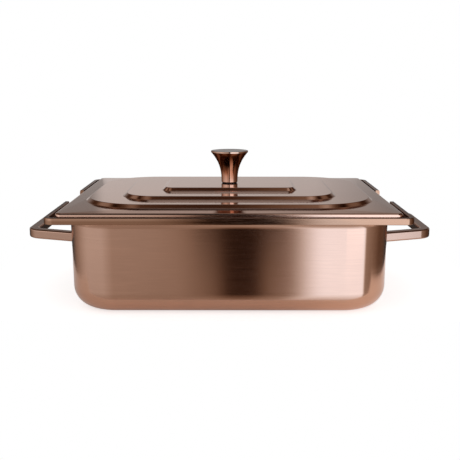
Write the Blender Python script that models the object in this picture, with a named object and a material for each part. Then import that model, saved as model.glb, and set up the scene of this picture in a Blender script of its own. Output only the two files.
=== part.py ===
"""Rectangular chafing dish: drawn water pan with a notched raised rim, food pan and stepped lift-off lid.

Units are metres and +Z is up. The origin is the middle of the base plate's underside, on the table.
+X runs along the long side, towards the right-hand handle, and -Y faces the guest.
The water pan, its rim rails, its base plate and its two bar handles stay put. The food pan lifts straight
out of the rim, and the lid with its turned knob lifts straight off the food pan.
"""

import math

import bmesh
import bpy
from mathutils import Matrix, Vector

# Clearances
SEAT_GAP = 0.0003
SCREW_GAP = 0.0003
PAN_TO_RIM_PLAY = 0.0040

# Half-size gastronorm food pan, which the lid and the rim are made to fit
FOOD_PAN_LENGTH = 0.325
FOOD_PAN_WIDTH = 0.265
FOOD_PAN_DEPTH = 0.065
FOOD_PAN_SHEET = 0.0009
FOOD_PAN_FLANGE = 0.0110
FOOD_PAN_FLANGE_CORNER = 0.009
FOOD_PAN_BODY_CORNER = 0.040
FOOD_PAN_EDGE_DROP = 0.0029
FOOD_PAN_DRAFT = math.radians(4.0)
FOOD_PAN_BOTTOM_RADIUS = 0.014
FOOD_PAN_SHOULDER_RADIUS = 0.0030
FOOD_PAN_EDGE_CHAMFER = 0.00027

# Raised rim: a folded rail round the water pan, left open at the short sides for the fingers
RAIL_THICKNESS = 0.0045
RAIL_HEIGHT = 0.0063
RAIL_LEG = 0.0020
RAIL_EDGE_RADIUS = 0.0006
RIM_CORNER = 0.0100
FINGER_NOTCH = 0.080

# Water pan
PAN_HEIGHT = 0.0971
PAN_SHEET = 0.0010
PAN_OVERHANG = 0.0148
PAN_WALL_CORNER = 0.046
PAN_BOTTOM_RADIUS = 0.021
PAN_SHOULDER_RADIUS = 0.0070
PAN_DRAFT = math.radians(0.57)
SHELF_DEPTH = 0.0050

# Bonded induction base plate, let into the pan's floor
PLATE_THICKNESS = 0.0032
PLATE_PROUD = 0.0004
PLATE_LENGTH = 0.236
PLATE_WIDTH = 0.176
PLATE_CORNER = 0.030
PLATE_EDGE_CHAMFER = 0.0006

# Bar handles
HANDLE_REACH = 0.0528
HANDLE_BAR_WIDTH = 0.0105
HANDLE_BAR_HEIGHT = 0.0097
HANDLE_EDGE_RADIUS = 0.0018
HANDLE_BEND_RADIUS = 0.012
HANDLE_ROOT_SPREAD = 0.066
HANDLE_END_SPREAD = 0.048
HANDLE_DROP = 0.0270

# Screws that hold the handles from inside, with their sealing washers
HANDLE_SCREW_RADIUS = 0.0020
HANDLE_SCREW_HEAD_RADIUS = 0.0042
HANDLE_SCREW_HEAD_HEIGHT = 0.0024
HANDLE_SCREW_REACH = 0.0050
HANDLE_SCREW_INSET = 0.0012
HANDLE_SEAL_RADIUS = 0.0052
HANDLE_SEAL_THICKNESS = 0.0012
HEX_SOCKET_ACROSS = 0.0025
HEX_SOCKET_DEPTH = 0.0013

# Button heads' outline, as shares of the head's radius and height
HEAD_FLAT_SHARE = 0.62
HEAD_CROWN_SHARE = 0.90
HEAD_SHOULDER_SHARE = 0.62
HEAD_EDGE_SHARE = 0.16

# Lid
LID_SHEET = 0.0010
LID_EDGE_HEIGHT = 0.0040
LID_CORNER = 0.0065
LID_EDGE_RADIUS = 0.0020
LID_HEM = 0.0050
LID_MARGIN_RISE = 0.0012
LID_STEP_HEIGHT = 0.0034
LID_STEP_RADIUS = 0.0016
LID_RISER_SLOPE = math.radians(42.0)
LID_REAR_SHIFT = 0.0027
LOWER_STEP_LENGTH = 0.2888
LOWER_STEP_WIDTH = 0.2180
LOWER_STEP_CORNER = 0.060
MIDDLE_STEP_LENGTH = 0.2138
MIDDLE_STEP_WIDTH = 0.1568
MIDDLE_STEP_CORNER = 0.031
UPPER_STEP_LENGTH = 0.1366
UPPER_STEP_WIDTH = 0.0820
UPPER_STEP_CORNER = 0.009

# Knob and what holds it
KNOB_HEIGHT = 0.0340
KNOB_TOP_RADIUS = 0.0200
KNOB_NECK_RADIUS = 0.00875
KNOB_RIM_HEIGHT = 0.0016
KNOB_RIM_CHAMFER = 0.0004
KNOB_DISH_DEPTH = 0.0006
KNOB_DISH_SHARES = (0.7, 0.35)
KNOB_FLARE_POWER = 2.52
KNOB_FOOT_CHAMFER = 0.0004
KNOB_BORE_DEPTH = 0.0140
KNOB_SEAL_THICKNESS = 0.0004
KNOB_SEAL_INSET = 0.0006
KNOB_SCREW_RADIUS = 0.0020
KNOB_SCREW_REACH = 0.0100
KNOB_SCREW_HEAD_RADIUS = 0.0042
KNOB_SCREW_HEAD_HEIGHT = 0.0030
KNOB_WASHER_RADIUS = 0.0065
KNOB_WASHER_THICKNESS = 0.0011
LOCK_WASHER_RADIUS = 0.0042
LOCK_WASHER_THICKNESS = 0.0011
LOCK_WASHER_SPLIT = math.radians(14.0)
LOCK_WASHER_RISE = 0.0002

# Facets
CORNER_STEPS = 8
BEND_STEPS = 6
EDGE_STEPS = 2
SHOULDER_STEPS = 4
KNOB_STEPS = 32
FLARE_STEPS = 11
FASTENER_STEPS = 18

# Levels and outlines that the sizes above give
RIM_LENGTH = FOOD_PAN_LENGTH + 2 * PAN_TO_RIM_PLAY + 2 * RAIL_THICKNESS
RIM_WIDTH = FOOD_PAN_WIDTH + 2 * PAN_TO_RIM_PLAY + 2 * RAIL_THICKNESS
RIM_TOP = PLATE_PROUD + PAN_HEIGHT
SHELF_TOP = RIM_TOP - SHELF_DEPTH
FLANGE_TOP = SHELF_TOP + SEAT_GAP + FOOD_PAN_EDGE_DROP
LID_BOTTOM = FLANGE_TOP + SEAT_GAP
LID_PLATEAU = LID_EDGE_HEIGHT + LID_MARGIN_RISE + 3 * LID_STEP_HEIGHT
HANDLE_TOP = RIM_TOP - HANDLE_DROP
HANDLE_MIDDLE = HANDLE_TOP - HANDLE_BAR_HEIGHT / 2

COPPER = (0.60, 0.36, 0.27)
DARK_COPPER = (0.42, 0.23, 0.16)
STEEL = (0.58, 0.57, 0.55)
BASE_STEEL = (0.40, 0.39, 0.38)
SILICONE = (0.03, 0.03, 0.03)


def clear_scene():
    """Remove every object, so that the script can be run again."""
    for item in list(bpy.data.objects):
        bpy.data.objects.remove(item, do_unlink=True)


def make_material(name, colour, roughness, metallic):
    """Return a Principled material."""
    material = bpy.data.materials.new(name)
    material.use_nodes = True
    shader = material.node_tree.nodes["Principled BSDF"]
    shader.inputs["Base Color"].default_value = (*colour, 1.0)
    shader.inputs["Roughness"].default_value = roughness
    shader.inputs["Metallic"].default_value = metallic
    return material


def make_empty(name, location, parent=None):
    """Return an empty that carries what lifts together."""
    empty = bpy.data.objects.new(name, None)
    bpy.context.collection.objects.link(empty)
    empty.parent = parent
    empty.location = location
    return empty


def make_object(name, mesh, material, location=(0, 0, 0), parent=None, turn=(0, 0, 0)):
    """Link a mesh as a named object with smooth rounds and crisp edges. Copies may share one mesh."""
    part = bpy.data.objects.new(name, mesh)
    bpy.context.collection.objects.link(part)
    part.parent = parent
    part.location = location
    part.rotation_euler = turn
    if not mesh.materials:
        mesh.name = name
        mesh.materials.append(material)
        mesh.shade_smooth()
        mesh.set_sharp_from_angle(angle=math.radians(35))
    return part


def ring(half_x, half_y, corner, height, steps=CORNER_STEPS):
    """Return a rounded rectangle, counter-clockwise seen from above, with the same count for every size."""
    points = []
    centres = [(1, 1), (-1, 1), (-1, -1), (1, -1)]
    for quarter, (side_x, side_y) in enumerate(centres):
        centre_x = side_x * (half_x - corner)
        centre_y = side_y * (half_y - corner)
        for step in range(steps + 1):
            angle = (quarter + step / steps) * math.pi / 2
            x = centre_x + corner * math.cos(angle)
            y = centre_y + corner * math.sin(angle)
            points.append(Vector((x, y, height)))
    return points


def circle(radius, height, steps=FASTENER_STEPS):
    """Return a circle's points, counter-clockwise seen from above."""
    turn = 2 * math.pi / steps
    return [Vector((radius * math.cos(i * turn), radius * math.sin(i * turn), height)) for i in range(steps)]


def loft(rings, looped=False):
    """Skin rings of equal count into one closed mesh.

    The rings run up an outer side and down an inner side. Open ends are capped, and a looped set joins its
    last ring to its first one, as a washer's section does.
    """
    shape = bmesh.new()
    rows = [[shape.verts.new(point) for point in points] for points in rings]
    count = len(rows[0])
    pairs = list(zip(rows, rows[1:]))
    if looped:
        pairs.append((rows[-1], rows[0]))
    for lower, upper in pairs:
        for i in range(count):
            j = (i + 1) % count
            shape.faces.new((lower[i], lower[j], upper[j], upper[i]))
    if not looped:
        shape.faces.new(reversed(rows[0]))
        shape.faces.new(rows[-1])
    mesh = bpy.data.meshes.new("loft")
    shape.to_mesh(mesh)
    shape.free()
    return mesh


def sweep(sections):
    """Skin a row of equal section outlines into a closed bar with flat ends."""
    shape = bmesh.new()
    rows = [[shape.verts.new(point) for point in points] for points in sections]
    count = len(rows[0])
    for near, far in zip(rows, rows[1:]):
        for i in range(count):
            j = (i + 1) % count
            shape.faces.new((near[i], near[j], far[j], far[i]))
    shape.faces.new(reversed(rows[0]))
    shape.faces.new(rows[-1])
    bmesh.ops.recalc_face_normals(shape, faces=shape.faces)
    mesh = bpy.data.meshes.new("sweep")
    shape.to_mesh(mesh)
    shape.free()
    return mesh


def arc(centre_u, centre_v, radius, start, end, steps):
    """Return points of an arc in a section plane, with angles in degrees."""
    points = []
    for step in range(steps + 1):
        angle = math.radians(start + (end - start) * step / steps)
        points.append((centre_u + radius * math.cos(angle), centre_v + radius * math.sin(angle)))
    return points


def join_meshes(meshes):
    """Return one mesh that holds several separate closed bodies."""
    shape = bmesh.new()
    for mesh in meshes:
        shape.from_mesh(mesh)
        bpy.data.meshes.remove(mesh)
    joined = bpy.data.meshes.new("joined")
    shape.to_mesh(joined)
    shape.free()
    return joined


def cut(part, cutter_mesh, name):
    """Cut a part with a hidden wire cutter, by an exact Boolean."""
    cutter = bpy.data.objects.new(name, cutter_mesh)
    bpy.context.collection.objects.link(cutter)
    cutter.hide_render = True
    cutter.display_type = "WIRE"
    boolean = part.modifiers.new(name, "BOOLEAN")
    boolean.operation = "DIFFERENCE"
    boolean.object = cutter


def pan_half_length(height):
    """Return the water pan's outer half length at a height, which its draft narrows downwards."""
    return RIM_LENGTH / 2 - PAN_OVERHANG - (RIM_TOP - height) * math.tan(PAN_DRAFT)


def pan_half_width(height):
    """Return the water pan's outer half width at a height."""
    return RIM_WIDTH / 2 - PAN_OVERHANG - (RIM_TOP - height) * math.tan(PAN_DRAFT)


def pan_ring(inset, height, wall_height):
    """Return a ring parallel to the water pan's wall, set in from its outer face at the wall height."""
    half_x = pan_half_length(wall_height) - inset
    half_y = pan_half_width(wall_height) - inset
    return ring(half_x, half_y, PAN_WALL_CORNER - inset, height)


def pan_floor_bend(inset):
    """Return the rings of the bend from floor to wall, for the outer skin or one set in by the sheet."""
    rings = []
    bend = PAN_BOTTOM_RADIUS
    centre_height = PLATE_PROUD + bend
    for step in range(BEND_STEPS + 1):
        angle = math.pi / 2 * step / BEND_STEPS
        reach = (bend - inset) * math.sin(angle)
        drop = (bend - inset) * math.cos(angle)
        rings.append(pan_ring(bend - reach, centre_height - drop, centre_height))
    return rings


def pan_shoulder_bend(inset):
    """Return the rings of the bend from wall to flange, from the wall outwards."""
    rings = []
    bend = PAN_SHOULDER_RADIUS + inset
    centre_height = SHELF_TOP - PAN_SHEET - PAN_SHOULDER_RADIUS
    for step in range(SHOULDER_STEPS + 1):
        angle = math.pi / 2 * step / SHOULDER_STEPS
        offset = PAN_SHOULDER_RADIUS - bend * math.cos(angle)
        height = centre_height + bend * math.sin(angle)
        rings.append(pan_ring(-offset, height, centre_height))
    return rings


def build_water_pan(material):
    """Draw the water pan from one sheet: recessed floor, filleted walls and the shelf that carries the rim."""
    flange_inset = RAIL_LEG + SEAT_GAP
    flange_x = RIM_LENGTH / 2 - flange_inset
    flange_y = RIM_WIDTH / 2 - flange_inset
    flange_corner = RIM_CORNER - flange_inset
    recess_x = PLATE_LENGTH / 2 + SEAT_GAP
    recess_y = PLATE_WIDTH / 2 + SEAT_GAP
    recess_corner = PLATE_CORNER + SEAT_GAP
    recess_top = PLATE_THICKNESS + SEAT_GAP
    rings = [ring(recess_x, recess_y, recess_corner, recess_top)]
    rings.append(ring(recess_x, recess_y, recess_corner, PLATE_PROUD))
    rings += pan_floor_bend(0)
    rings += pan_shoulder_bend(0)
    rings.append(ring(flange_x, flange_y, flange_corner, SHELF_TOP - PAN_SHEET))
    rings.append(ring(flange_x, flange_y, flange_corner, SHELF_TOP))
    rings += reversed(pan_shoulder_bend(PAN_SHEET))
    rings += reversed(pan_floor_bend(PAN_SHEET))
    bump_x = recess_x + PAN_SHEET
    bump_y = recess_y + PAN_SHEET
    bump_corner = recess_corner + PAN_SHEET
    rings.append(ring(bump_x, bump_y, bump_corner, PLATE_PROUD + PAN_SHEET))
    rings.append(ring(bump_x, bump_y, bump_corner, recess_top + PAN_SHEET))
    return make_object("water_pan", loft(rings), material)


def build_base_plate(material):
    """Make the induction plate with a small chamfer round its underside."""
    half_x = PLATE_LENGTH / 2
    half_y = PLATE_WIDTH / 2
    chamfer = PLATE_EDGE_CHAMFER
    rings = [
        ring(half_x - chamfer, half_y - chamfer, PLATE_CORNER - chamfer, 0),
        ring(half_x, half_y, PLATE_CORNER, chamfer),
        ring(half_x, half_y, PLATE_CORNER, PLATE_THICKNESS),
    ]
    return make_object("induction_plate", loft(rings), material)


def rail_section():
    """Return the rim rail's section as insets from its outer face and heights above the rim's foot.

    The rail has a rounded top, and a rebate inside its foot where the pan's flange is let in.
    """
    radius = RAIL_EDGE_RADIUS
    rebate_top = RAIL_HEIGHT - SHELF_DEPTH + SEAT_GAP
    points = arc(radius, radius, radius, 270, 180, EDGE_STEPS)
    points += arc(radius, RAIL_HEIGHT - radius, radius, 180, 90, EDGE_STEPS)
    points += arc(RAIL_THICKNESS - radius, RAIL_HEIGHT - radius, radius, 90, 0, EDGE_STEPS)
    points.append((RAIL_THICKNESS, rebate_top))
    points.append((RAIL_LEG, rebate_top))
    points.append((RAIL_LEG, 0))
    return points


def build_rim_rail(name, side, material):
    """Bend one C-shaped rail round two corners, from finger notch to finger notch.

    The side is -1 for the rail at the front and 1 for the one at the back.
    """
    half_x = RIM_LENGTH / 2
    half_y = RIM_WIDTH / 2
    foot = RIM_TOP - RAIL_HEIGHT
    outline = rail_section()
    sections = [[Vector((half_x - u, side * FINGER_NOTCH / 2, foot + v)) for u, v in outline]]
    for quarter in (0, 1):
        centre_x = (half_x - RIM_CORNER) * (1 - 2 * quarter)
        centre_y = side * (half_y - RIM_CORNER)
        for step in range(CORNER_STEPS + 1):
            angle = (quarter + step / CORNER_STEPS) * math.pi / 2
            direction = Vector((math.cos(angle), side * math.sin(angle), 0))
            centre = Vector((centre_x, centre_y, foot))
            sections.append([centre + direction * (RIM_CORNER - u) + Vector((0, 0, v)) for u, v in outline])
    sections.append([Vector((u - half_x, side * FINGER_NOTCH / 2, foot + v)) for u, v in outline])
    return make_object(name, sweep(sections), material)


def handle_path(root_x):
    """Return the right handle's centre line as points and sideways vectors, from its front root to its rear."""
    reach_x = root_x + HANDLE_REACH - HANDLE_BAR_WIDTH / 2
    splay = math.atan2(HANDLE_ROOT_SPREAD - HANDLE_END_SPREAD, reach_x - root_x)
    bend_turn = math.pi / 2 - splay
    setback = HANDLE_BEND_RADIUS * math.tan(bend_turn / 2)
    centre_x = reach_x - HANDLE_BEND_RADIUS
    centre_y = -(HANDLE_END_SPREAD - setback)
    stations = [((root_x, -HANDLE_ROOT_SPREAD), (0, -1 / math.cos(splay)))]
    for step in range(BEND_STEPS + 1):
        angle = -bend_turn * (1 - step / BEND_STEPS)
        outward = (math.cos(angle), math.sin(angle))
        x = centre_x + HANDLE_BEND_RADIUS * outward[0]
        y = centre_y + HANDLE_BEND_RADIUS * outward[1]
        stations.append(((x, y), outward))
    mirrored = [((x, -y), (out_x, -out_y)) for (x, y), (out_x, out_y) in reversed(stations)]
    return stations + mirrored


def handle_outline():
    """Return the bar's rounded section as sideways and upward offsets from its centre line."""
    radius = HANDLE_EDGE_RADIUS
    half_u = HANDLE_BAR_WIDTH / 2 - radius
    half_v = HANDLE_BAR_HEIGHT / 2 - radius
    points = arc(half_u, half_v, radius, 0, 90, EDGE_STEPS)
    points += arc(-half_u, half_v, radius, 90, 180, EDGE_STEPS)
    points += arc(-half_u, -half_v, radius, 180, 270, EDGE_STEPS)
    points += arc(half_u, -half_v, radius, 270, 360, EDGE_STEPS)
    return points


def handle_screw_spots(side):
    """Return where a handle's two screws cross the pan's outer face."""
    face_x = side * pan_half_length(HANDLE_MIDDLE)
    across = HANDLE_ROOT_SPREAD - HANDLE_SCREW_INSET
    return [Vector((face_x, end * across, HANDLE_MIDDLE)) for end in (-1, 1)]


def rod_along_x(spot, side, start, end, radius):
    """Return a rod's mesh that runs outwards from a spot on the pan's wall."""
    mesh = loft([circle(radius, start), circle(radius, end)])
    mesh.transform(Matrix.Translation(spot) @ Matrix.Rotation(side * math.pi / 2, 4, "Y"))
    return mesh


def build_handle(name, side, material):
    """Sweep the flat bar round its loop and drill its two roots for the screws."""
    root_x = pan_half_length(HANDLE_TOP) + SEAT_GAP
    outline = handle_outline()
    sections = []
    for (x, y), (out_x, out_y) in handle_path(root_x):
        sections.append([Vector((side * (x + u * out_x), y + u * out_y, HANDLE_MIDDLE + v)) for u, v in outline])
    part = make_object(name, sweep(sections), material)
    bore = HANDLE_SCREW_RADIUS + SCREW_GAP
    depth = HANDLE_SCREW_REACH + SCREW_GAP
    bores = [rod_along_x(spot, side, -depth, depth, bore) for spot in handle_screw_spots(side)]
    cut(part, join_meshes(bores), name + "_bores")
    return part


def drill_pan_wall(pan):
    """Drill the water pan's end walls where the handle screws go through."""
    radius = HANDLE_SCREW_RADIUS + SCREW_GAP
    reach = 2 * PAN_SHEET
    rods = []
    for side in (-1, 1):
        rods += [rod_along_x(spot, side, -reach, reach, radius) for spot in handle_screw_spots(side)]
    cut(pan, join_meshes(rods), "pan_wall_bores")


def screw_mesh(shank_radius, shank_length, head_radius, head_height):
    """Return a button-head screw with a hexagon socket, its head's seat at zero and its shank along +Z."""
    socket = HEX_SOCKET_ACROSS / math.sqrt(3)
    floor = HEX_SOCKET_DEPTH - head_height
    rings = [
        socket_ring(socket, floor),
        socket_ring(socket, -head_height),
        circle(head_radius * HEAD_FLAT_SHARE, -head_height),
        circle(head_radius * HEAD_CROWN_SHARE, -head_height * HEAD_SHOULDER_SHARE),
        circle(head_radius, -head_height * HEAD_EDGE_SHARE),
        circle(head_radius, 0),
        circle(shank_radius, 0),
        circle(shank_radius, shank_length),
    ]
    return loft(rings)


def socket_ring(radius, height):
    """Return a hexagon with as many points as a circle, so that both can be lofted."""
    points = []
    for point in circle(1.0, height):
        angle = math.atan2(point.y, point.x) % (math.pi / 3) - math.pi / 6
        flat = radius * math.cos(math.pi / 6) / math.cos(angle)
        points.append(Vector((point.x * flat, point.y * flat, height)))
    return points


def washer_mesh(outer_radius, inner_radius, thickness):
    """Return a flat washer that lies on zero."""
    rings = [circle(inner_radius, 0), circle(outer_radius, 0)]
    rings += [circle(outer_radius, thickness), circle(inner_radius, thickness)]
    return loft(rings, looped=True)


def build_handle_fixings(screw_material, seal_material):
    """Place the four handle screws inside the water pan, each on its silicone sealing washer."""
    seal_seat = PAN_SHEET + SEAT_GAP + HANDLE_SEAL_THICKNESS
    head_seat = seal_seat + SEAT_GAP
    length = head_seat + HANDLE_SCREW_REACH
    screw = screw_mesh(HANDLE_SCREW_RADIUS, length, HANDLE_SCREW_HEAD_RADIUS, HANDLE_SCREW_HEAD_HEIGHT)
    seal = washer_mesh(HANDLE_SEAL_RADIUS, HANDLE_SCREW_RADIUS + SCREW_GAP, HANDLE_SEAL_THICKNESS)
    for side, side_name in ((-1, "left"), (1, "right")):
        turn = (0, side * math.pi / 2, 0)
        for spot, end_name in zip(handle_screw_spots(side), ("front", "rear")):
            place = f"{side_name}_{end_name}"
            head_spot = spot - Vector((side * head_seat, 0, 0))
            make_object(f"handle_screw_{place}", screw, screw_material, head_spot, turn=turn)
            seal_spot = spot - Vector((side * seal_seat, 0, 0))
            make_object(f"handle_seal_{place}", seal, seal_material, seal_spot, turn=turn)


def food_ring(half_x, half_y, inset, corner, height):
    """Return a ring of the food pan, whose corners are never tighter than its sheet."""
    return ring(half_x - inset, half_y - inset, max(corner - inset, FOOD_PAN_SHEET), height)


def food_pan_skin(inset):
    """Return the food pan's rings from its floor up to its flange, for the outer skin or the inner one."""
    body_x = FOOD_PAN_LENGTH / 2 - FOOD_PAN_FLANGE
    body_y = FOOD_PAN_WIDTH / 2 - FOOD_PAN_FLANGE
    bend = FOOD_PAN_BOTTOM_RADIUS
    shoulder = FOOD_PAN_SHOULDER_RADIUS
    bottom = -FOOD_PAN_DEPTH
    shoulder_height = -FOOD_PAN_SHEET - shoulder
    lean = (shoulder_height - bottom - bend) * math.tan(FOOD_PAN_DRAFT)
    rings = []
    for step in range(BEND_STEPS + 1):
        angle = math.pi / 2 * step / BEND_STEPS
        reach = lean + bend - (bend - inset) * math.sin(angle)
        height = bottom + bend - (bend - inset) * math.cos(angle)
        rings.append(food_ring(body_x, body_y, reach, FOOD_PAN_BODY_CORNER, height))
    for step in range(EDGE_STEPS + 1):
        angle = math.pi / 2 * step / EDGE_STEPS
        reach = (shoulder + inset) * math.cos(angle) - shoulder
        height = shoulder_height + (shoulder + inset) * math.sin(angle)
        rings.append(food_ring(body_x, body_y, reach, FOOD_PAN_BODY_CORNER, height))
    return rings


def build_food_pan(material, parent):
    """Draw the food pan, with its flange turned down at the edge to stand on the water pan's shelf."""
    edge_x = FOOD_PAN_LENGTH / 2
    edge_y = FOOD_PAN_WIDTH / 2
    corner = FOOD_PAN_FLANGE_CORNER
    sheet = FOOD_PAN_SHEET
    drop = -FOOD_PAN_EDGE_DROP
    rings = food_pan_skin(0)
    rings.append(food_ring(edge_x, edge_y, sheet, corner, -sheet))
    rings.append(food_ring(edge_x, edge_y, sheet, corner, drop))
    rings.append(food_ring(edge_x, edge_y, 0, corner, drop))
    rings.append(food_ring(edge_x, edge_y, 0, corner, -sheet))
    rings.append(food_ring(edge_x, edge_y, FOOD_PAN_EDGE_CHAMFER, corner, -FOOD_PAN_EDGE_CHAMFER))
    rings.append(food_ring(edge_x, edge_y, sheet, corner, 0))
    rings += reversed(food_pan_skin(sheet))
    return make_object("food_pan", loft(rings), material, parent=parent)


def lid_step_rings(length, width, corner, foot, skin):
    """Return the rings of one pressed step, from its rounded foot up to its rounded shoulder.

    Length, width and corner belong to the middle of the riser, which leans between two equal bends. The skin
    is the sheet's offset below the polished face, so that both faces keep one thickness.
    """
    radius = LID_STEP_RADIUS
    slope = LID_RISER_SLOPE
    straight = LID_STEP_HEIGHT - 2 * radius * (1 - math.cos(slope))
    reach = radius * math.sin(slope) + straight / math.tan(slope) / 2
    foot_centre = foot + radius
    top_centre = foot + LID_STEP_HEIGHT - radius
    outline = []
    for step in range(EDGE_STEPS + 1):
        angle = slope * step / EDGE_STEPS
        bend = radius + skin
        outline.append((reach - bend * math.sin(angle), foot_centre - bend * math.cos(angle)))
    for step in range(EDGE_STEPS + 1):
        angle = slope * (1 - step / EDGE_STEPS)
        bend = radius - skin
        outline.append((bend * math.sin(angle) - reach, top_centre + bend * math.cos(angle)))
    return [ring(length / 2 + u, width / 2 + u, corner + u, height) for u, height in outline]


def lid_steps():
    """Return the size and the foot of each pressed step, from the lowest to the highest."""
    sizes = [
        (LOWER_STEP_LENGTH, LOWER_STEP_WIDTH, LOWER_STEP_CORNER),
        (MIDDLE_STEP_LENGTH, MIDDLE_STEP_WIDTH, MIDDLE_STEP_CORNER),
        (UPPER_STEP_LENGTH, UPPER_STEP_WIDTH, UPPER_STEP_CORNER),
    ]
    foot = LID_EDGE_HEIGHT + LID_MARGIN_RISE
    return [(*size, foot + level * LID_STEP_HEIGHT) for level, size in enumerate(sizes)]


def build_lid(material, parent):
    """Press the lid: a hemmed edge, a margin that rises a little, three steps and the knob's hole."""
    half_x = FOOD_PAN_LENGTH / 2
    half_y = FOOD_PAN_WIDTH / 2
    sheet = LID_SHEET
    edge = LID_EDGE_RADIUS
    margin = LID_EDGE_HEIGHT
    hole = KNOB_SCREW_RADIUS + SCREW_GAP
    under = [ring(hole, hole, hole, LID_PLATEAU - sheet)]
    over = []
    for length, width, corner, foot in reversed(lid_steps()):
        under += reversed(lid_step_rings(length, width, corner, foot, sheet))
    for length, width, corner, foot in lid_steps():
        over += lid_step_rings(length, width, corner, foot, 0)
    inner_edge = edge - sheet
    for u, v in arc(edge, margin - edge, inner_edge, 90, 180, EDGE_STEPS):
        under.append(ring(half_x - u, half_y - u, LID_CORNER - u, v))
    under.append(ring(half_x - sheet, half_y - sheet, LID_CORNER - sheet, sheet))
    under.append(ring(half_x - LID_HEM, half_y - LID_HEM, LID_CORNER - LID_HEM, sheet))
    under.append(ring(half_x - LID_HEM, half_y - LID_HEM, LID_CORNER - LID_HEM, 0))
    for u, v in arc(sheet / 2, sheet / 2, sheet / 2, 270, 180, 2):
        under.append(ring(half_x - u, half_y - u, LID_CORNER - u, v))
    for u, v in arc(edge, margin - edge, edge, 180, 90, EDGE_STEPS):
        under.append(ring(half_x - u, half_y - u, LID_CORNER - u, v))
    over.append(ring(hole, hole, hole, LID_PLATEAU))
    return make_object("lid", loft(under + over, looped=True), material, parent=parent)


def knob_mesh():
    """Turn the knob: a blind bore, a slim neck, a trumpet flare and a thin bevelled rim round a dished top."""
    bore = KNOB_SCREW_RADIUS + SCREW_GAP
    top = KNOB_HEIGHT
    flare_top = top - KNOB_RIM_HEIGHT
    chamfer = KNOB_FOOT_CHAMFER
    outline = [(bore, KNOB_BORE_DEPTH), (bore, 0), (KNOB_NECK_RADIUS - chamfer, 0)]
    for step in range(FLARE_STEPS + 1):
        share = step / FLARE_STEPS
        radius = KNOB_NECK_RADIUS + (KNOB_TOP_RADIUS - KNOB_NECK_RADIUS) * share ** KNOB_FLARE_POWER
        outline.append((radius, chamfer + (flare_top - chamfer) * share))
    rim_chamfer = KNOB_RIM_CHAMFER
    outline.append((KNOB_TOP_RADIUS, top - rim_chamfer))
    outline.append((KNOB_TOP_RADIUS - rim_chamfer, top))
    outline.append((KNOB_TOP_RADIUS - 3 * rim_chamfer, top))
    for share in KNOB_DISH_SHARES:
        outline.append((KNOB_TOP_RADIUS * share, top - KNOB_DISH_DEPTH * (1 - share ** 2)))
    return loft([circle(radius, height, KNOB_STEPS) for radius, height in outline])


def lock_washer_mesh():
    """Return a split spring washer, whose two ends stand a little apart in height."""
    inner = KNOB_SCREW_RADIUS + SCREW_GAP
    outer = LOCK_WASHER_RADIUS
    steps = FASTENER_STEPS
    sections = []
    for step in range(steps + 1):
        share = step / steps
        angle = LOCK_WASHER_SPLIT / 2 + share * (2 * math.pi - LOCK_WASHER_SPLIT)
        rise = LOCK_WASHER_RISE * share
        direction = Vector((math.cos(angle), math.sin(angle), 0))
        low = Vector((0, 0, rise))
        high = Vector((0, 0, rise + LOCK_WASHER_THICKNESS - LOCK_WASHER_RISE))
        section = [direction * inner + low, direction * outer + low]
        section += [direction * outer + high, direction * inner + high]
        sections.append(section)
    return sweep(sections)


def build_knob_assembly(metal, seal_material, steel, parent):
    """Stack the knob and its seal on the lid, and the washers and the screw's head under it."""
    hole = KNOB_SCREW_RADIUS + SCREW_GAP
    seal_seat = LID_PLATEAU + SEAT_GAP
    knob_seat = seal_seat + KNOB_SEAL_THICKNESS + SEAT_GAP
    washer_seat = LID_PLATEAU - LID_SHEET - SEAT_GAP - KNOB_WASHER_THICKNESS
    lock_seat = washer_seat - SEAT_GAP - LOCK_WASHER_THICKNESS
    head_seat = lock_seat - SEAT_GAP
    seal = washer_mesh(KNOB_NECK_RADIUS - KNOB_SEAL_INSET, hole, KNOB_SEAL_THICKNESS)
    make_object("knob_seal", seal, seal_material, (0, 0, seal_seat), parent)
    make_object("knob", knob_mesh(), metal, (0, 0, knob_seat), parent)
    washer = washer_mesh(KNOB_WASHER_RADIUS, hole, KNOB_WASHER_THICKNESS)
    make_object("knob_washer", washer, steel, (0, 0, washer_seat), parent)
    make_object("knob_lock_washer", lock_washer_mesh(), steel, (0, 0, lock_seat), parent)
    length = knob_seat + KNOB_SCREW_REACH - head_seat
    screw = screw_mesh(KNOB_SCREW_RADIUS, length, KNOB_SCREW_HEAD_RADIUS, KNOB_SCREW_HEAD_HEIGHT)
    make_object("knob_screw", screw, steel, (0, 0, head_seat), parent)


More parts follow.
